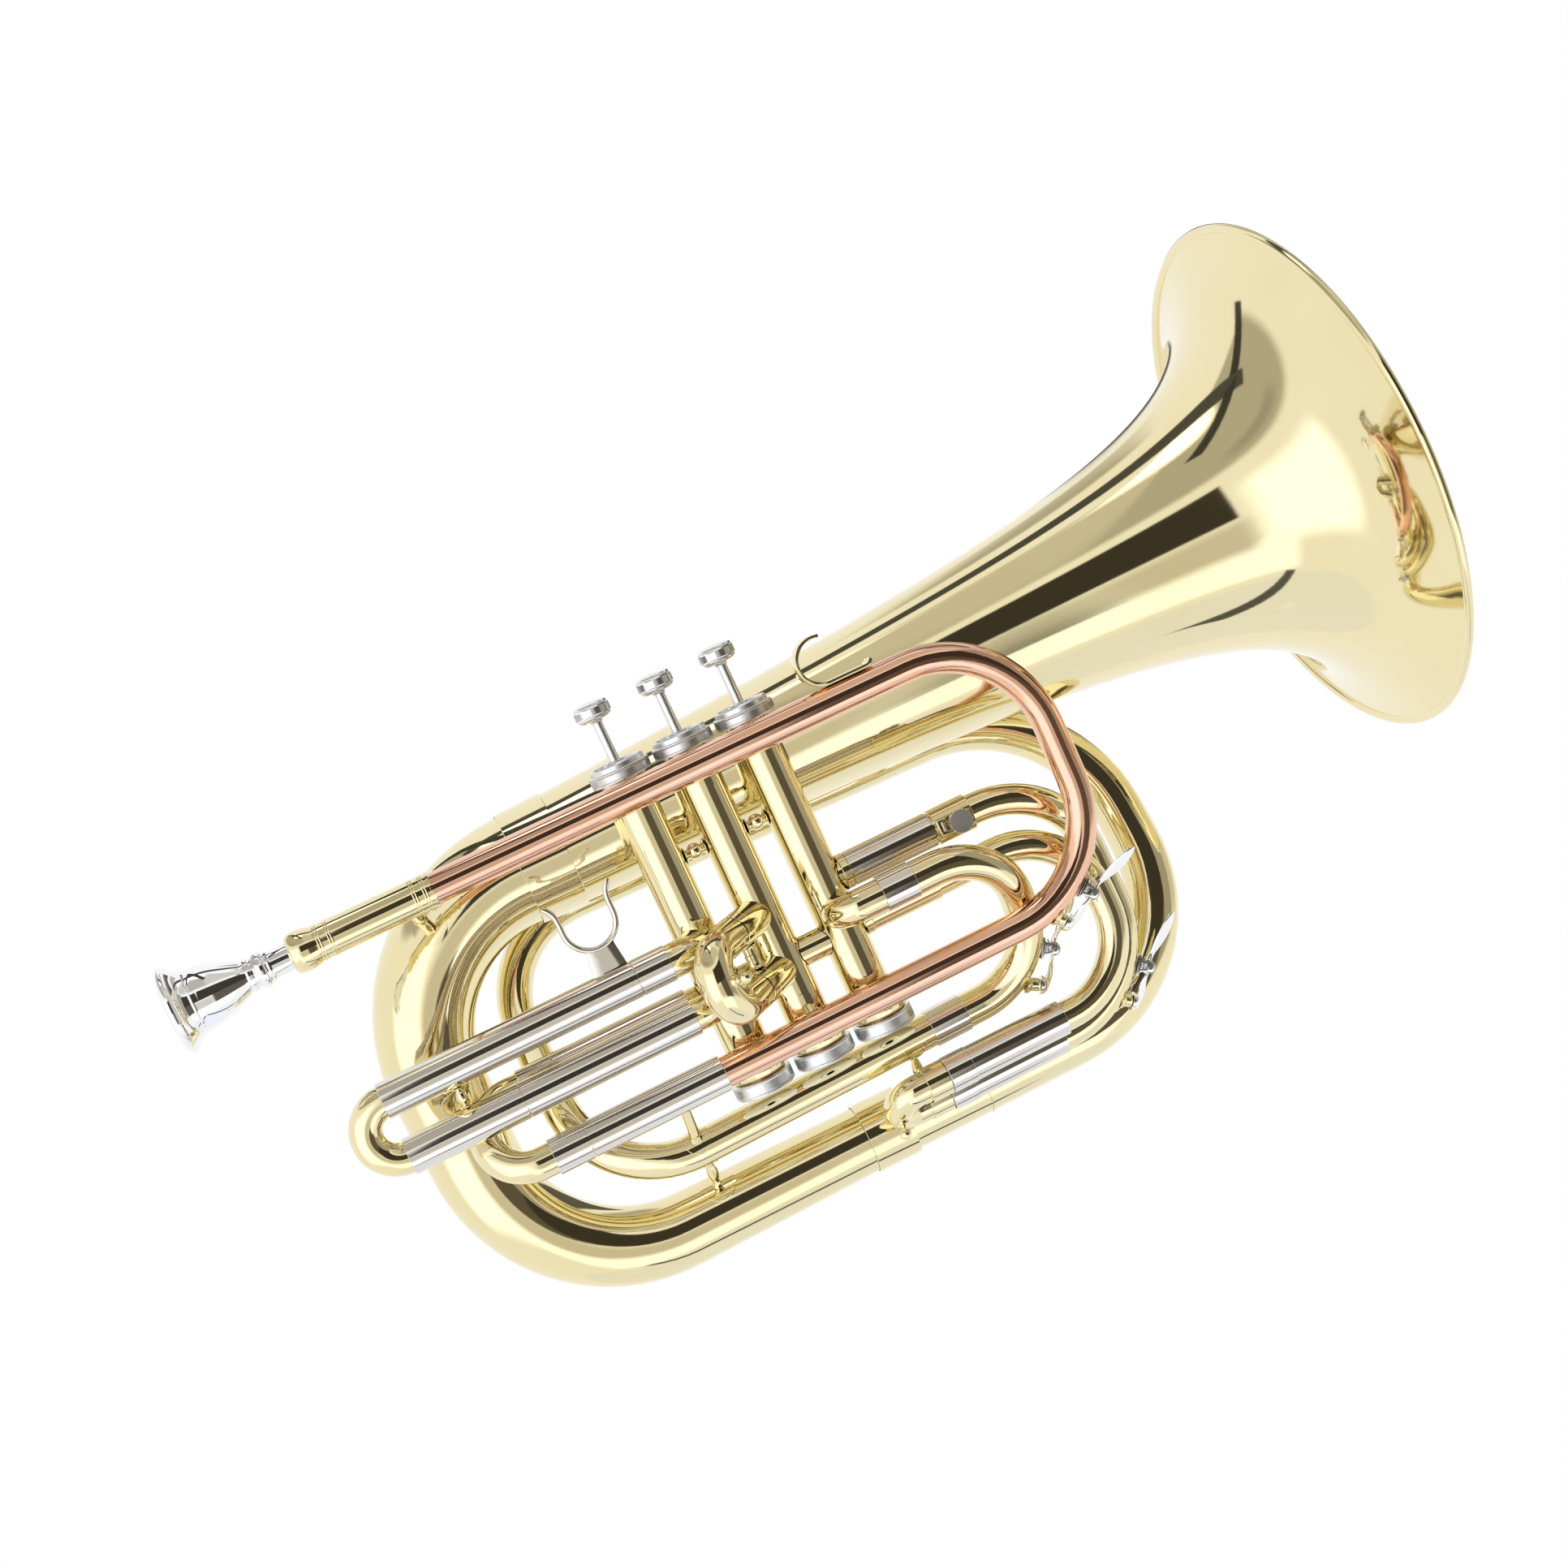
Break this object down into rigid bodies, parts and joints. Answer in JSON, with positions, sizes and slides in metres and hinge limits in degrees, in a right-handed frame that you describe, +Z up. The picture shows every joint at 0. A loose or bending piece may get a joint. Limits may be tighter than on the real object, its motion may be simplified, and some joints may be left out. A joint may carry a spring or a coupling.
{
  "type": "marching baritone horn",
  "caption": "Bell-front marching baritone in lacquered brass with piston valves, tuning and valve slides, water keys and a silver mouthpiece.",
  "frame": {"origin": "on the middle valve's axis, halfway up its casing, where the player's hand holds the horn", "axes": "+X towards the bell's mouth, +Z up along the valves to the finger buttons, -Y the player's right side"},
  "size_m": [0.5795, 0.2606, 0.3378],
  "materials": {
    "lacquered_brass": "clear-lacquered, polished",
    "rose_brass": "clear-lacquered, polished",
    "nickel_silver": "polished",
    "silver_plate": "polished",
    "knurled_nickel": "knurled",
    "spring_steel": "drawn wire"
  },
  "bodies": {
    "horn": {"bell": "lacquered_brass", "tail_ferrule": "lacquered_brass", "back_bow": "lacquered_brass", "bottom_ferrule": "lacquered_brass", "front_bow": "lacquered_brass", "inner_branch": "lacquered_brass", "j_bow": "lacquered_brass", "exit_elbow": "lacquered_brass", "leadpipe": "rose_brass", "receiver": "lacquered_brass", "valve_1_casing": "lacquered_brass", "valve_2_casing": "lacquered_brass", "valve_3_casing": "lacquered_brass", "valve_1_2_link": "lacquered_brass", "valve_2_3_link": "lacquered_brass", "valve_1_top_cap": "knurled_nickel", "valve_2_top_cap": "knurled_nickel", "valve_3_top_cap": "knurled_nickel", "valve_1_bottom_cap": "knurled_nickel", "valve_2_bottom_cap": "knurled_nickel", "valve_3_bottom_cap": "knurled_nickel", "valve_1_spring": "spring_steel", "valve_2_spring": "spring_steel", "valve_3_spring": "spring_steel", "tuning_lower_outer": "nickel_silver", "tuning_upper_outer": "nickel_silver", "slide_1_upper_inner": "nickel_silver", "slide_1_lower_outer": "nickel_silver", "slide_2_upper_knuckle": "lacquered_brass", "slide_2_lower_knuckle": "lacquered_brass", "slide_3_outer_crook": "lacquered_brass", "slide_3_inner_crook": "lacquered_brass", "slide_3_front_outer": "nickel_silver", "slide_3_back_outer": "nickel_silver", "lyre_holder": "lacquered_brass", "pinky_hook": "rose_brass", "tuning_strut": "lacquered_brass", "bow_baluster": "lacquered_brass", "branch_post": "lacquered_brass", "receiver_brace": "lacquered_brass", "water_key_1_saddle": "silver_plate", "water_key_2_saddle": "silver_plate", "water_key_3_saddle": "silver_plate"},
    "mouthpiece": {"mouthpiece": "silver_plate"},
    "valve_1": {"valve_1_piston": "silver_plate", "valve_1_button": "silver_plate"},
    "valve_2": {"valve_2_piston": "silver_plate", "valve_2_button": "silver_plate"},
    "valve_3": {"valve_3_piston": "silver_plate", "valve_3_button": "silver_plate"},
    "tuning_slide": {"tuning_slide_bow": "lacquered_brass"},
    "slide_1": {"slide_1_sleeve": "nickel_silver", "slide_1_crook": "lacquered_brass", "slide_1_brace": "lacquered_brass"},
    "slide_2": {"slide_2_bow": "lacquered_brass"},
    "slide_3": {"slide_3_bow": "lacquered_brass"},
    "lyre_screw": {"lyre_screw": "knurled_nickel"},
    "water_key_1": {"water_key_1_lever": "silver_plate"},
    "water_key_2": {"water_key_2_lever": "silver_plate"},
    "water_key_3": {"water_key_3_lever": "silver_plate"}
  },
  "joints": [
    {"name": "valve_1_press", "type": "slide", "parent": "horn", "child": "valve_1", "axis": [0, 0, -1], "range_m": [0, 0.0172], "stiffness_N_per_m": 60, "springref_m": -0.03, "deforming": ["valve_1_spring"]},
    {"name": "valve_2_press", "type": "slide", "parent": "horn", "child": "valve_2", "axis": [0, 0, -1], "range_m": [0, 0.0172], "stiffness_N_per_m": 60, "springref_m": -0.03, "deforming": ["valve_2_spring"]},
    {"name": "valve_3_press", "type": "slide", "parent": "horn", "child": "valve_3", "axis": [0, 0, -1], "range_m": [0, 0.0172], "stiffness_N_per_m": 60, "springref_m": -0.03, "deforming": ["valve_3_spring"]},
    {"name": "mouthpiece_pull", "type": "slide", "parent": "horn", "child": "mouthpiece", "axis": [-1, 0, 0], "range_m": [0, 0.028]},
    {"name": "tuning_pull", "type": "slide", "parent": "horn", "child": "tuning_slide", "axis": [-1, 0, 0], "range_m": [0, 0.045]},
    {"name": "slide_1_pull", "type": "slide", "parent": "horn", "child": "slide_1", "axis": [-1, 0, 0], "range_m": [0, 0.055]},
    {"name": "slide_2_pull", "type": "slide", "parent": "horn", "child": "slide_2", "axis": [-0.5793, -0.8151, 0], "range_m": [0, 0.014]},
    {"name": "slide_3_pull", "type": "slide", "parent": "horn", "child": "slide_3", "axis": [-1, 0, 0], "range_m": [0, 0.04]},
    {"name": "lyre_screw_turn", "type": "hinge", "parent": "horn", "child": "lyre_screw", "pos_m": [0.09545, -0.016, -0.0072], "axis": [0, -1, 0], "continuous": true},
    {"name": "water_key_1_press", "type": "hinge", "parent": "horn", "child": "water_key_1", "pos_m": [0.13705, -0.0185, -0.06183], "axis": [0, -1, 0], "range_deg": [0, 12], "stiffness_Nm_per_rad": 0.05, "springref_deg": -17.19},
    {"name": "water_key_2_press", "type": "hinge", "parent": "horn", "child": "water_key_2", "pos_m": [0.15565, 0.0125, -0.11162], "axis": [0, -1, 0], "range_deg": [0, 12], "stiffness_Nm_per_rad": 0.05, "springref_deg": -17.19},
    {"name": "water_key_3_press", "type": "hinge", "parent": "horn", "child": "water_key_3", "pos_m": [0.11579, 0.00419, -0.08185], "axis": [0, -1, 0], "range_deg": [0, 12], "stiffness_Nm_per_rad": 0.05, "springref_deg": -17.19}
  ]
}
